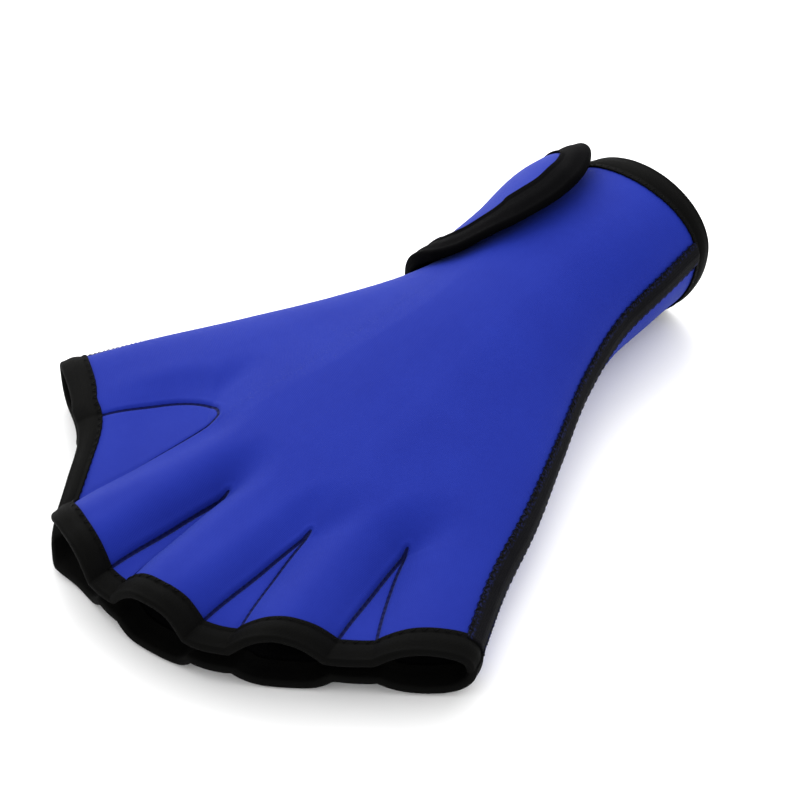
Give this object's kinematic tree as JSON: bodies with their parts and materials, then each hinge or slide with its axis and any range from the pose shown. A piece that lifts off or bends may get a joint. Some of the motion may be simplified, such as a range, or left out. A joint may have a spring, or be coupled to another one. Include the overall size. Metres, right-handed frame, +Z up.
{
  "type": "webbed swim glove",
  "caption": "Webbed swim glove of blue neoprene with black bindings: open finger ends joined by webs, a bound cuff and a wrist closure flap.",
  "frame": {"origin": "middle of the glove's footprint, on the table it lies on", "axes": "+Z up from the palm to the back of the hand, fingers toward -Y, cuff toward +Y, thumb toward -X"},
  "size_m": [0.1968, 0.245, 0.0609],
  "materials": {
    "back_panel": "smooth matt nylon face on foamed neoprene, royal blue",
    "palm_panel": "smooth matt nylon face on foamed neoprene, royal blue",
    "front_binding_back": "matt black stretch binding, folded over the panel's front edge",
    "front_binding_palm": "matt black stretch binding, folded over the panel's front edge",
    "side_tape_little_finger": "black woven tape over the side seam",
    "side_tape_thumb": "black woven tape over the side seam",
    "cuff_binding": "matt black stretch binding",
    "slit_binding": "matt black stretch binding",
    "closure_flap": "smooth matt nylon face on foamed neoprene, royal blue",
    "flap_binding": "matt black stretch binding, padded where it folds over the flap's edge",
    "closure_pad": "black fuzzy fastener, hidden under the flap"
  },
  "bodies": {
    "root": {"back_panel": "back_panel", "palm_panel": "palm_panel", "front_binding_back": "front_binding_back", "front_binding_palm": "front_binding_palm", "side_tape_little_finger": "side_tape_little_finger", "side_tape_thumb": "side_tape_thumb", "cuff_binding": "cuff_binding", "slit_binding": "slit_binding", "closure_flap": "closure_flap", "flap_binding": "flap_binding", "closure_pad": "closure_pad"}
  },
  "joints": []
}
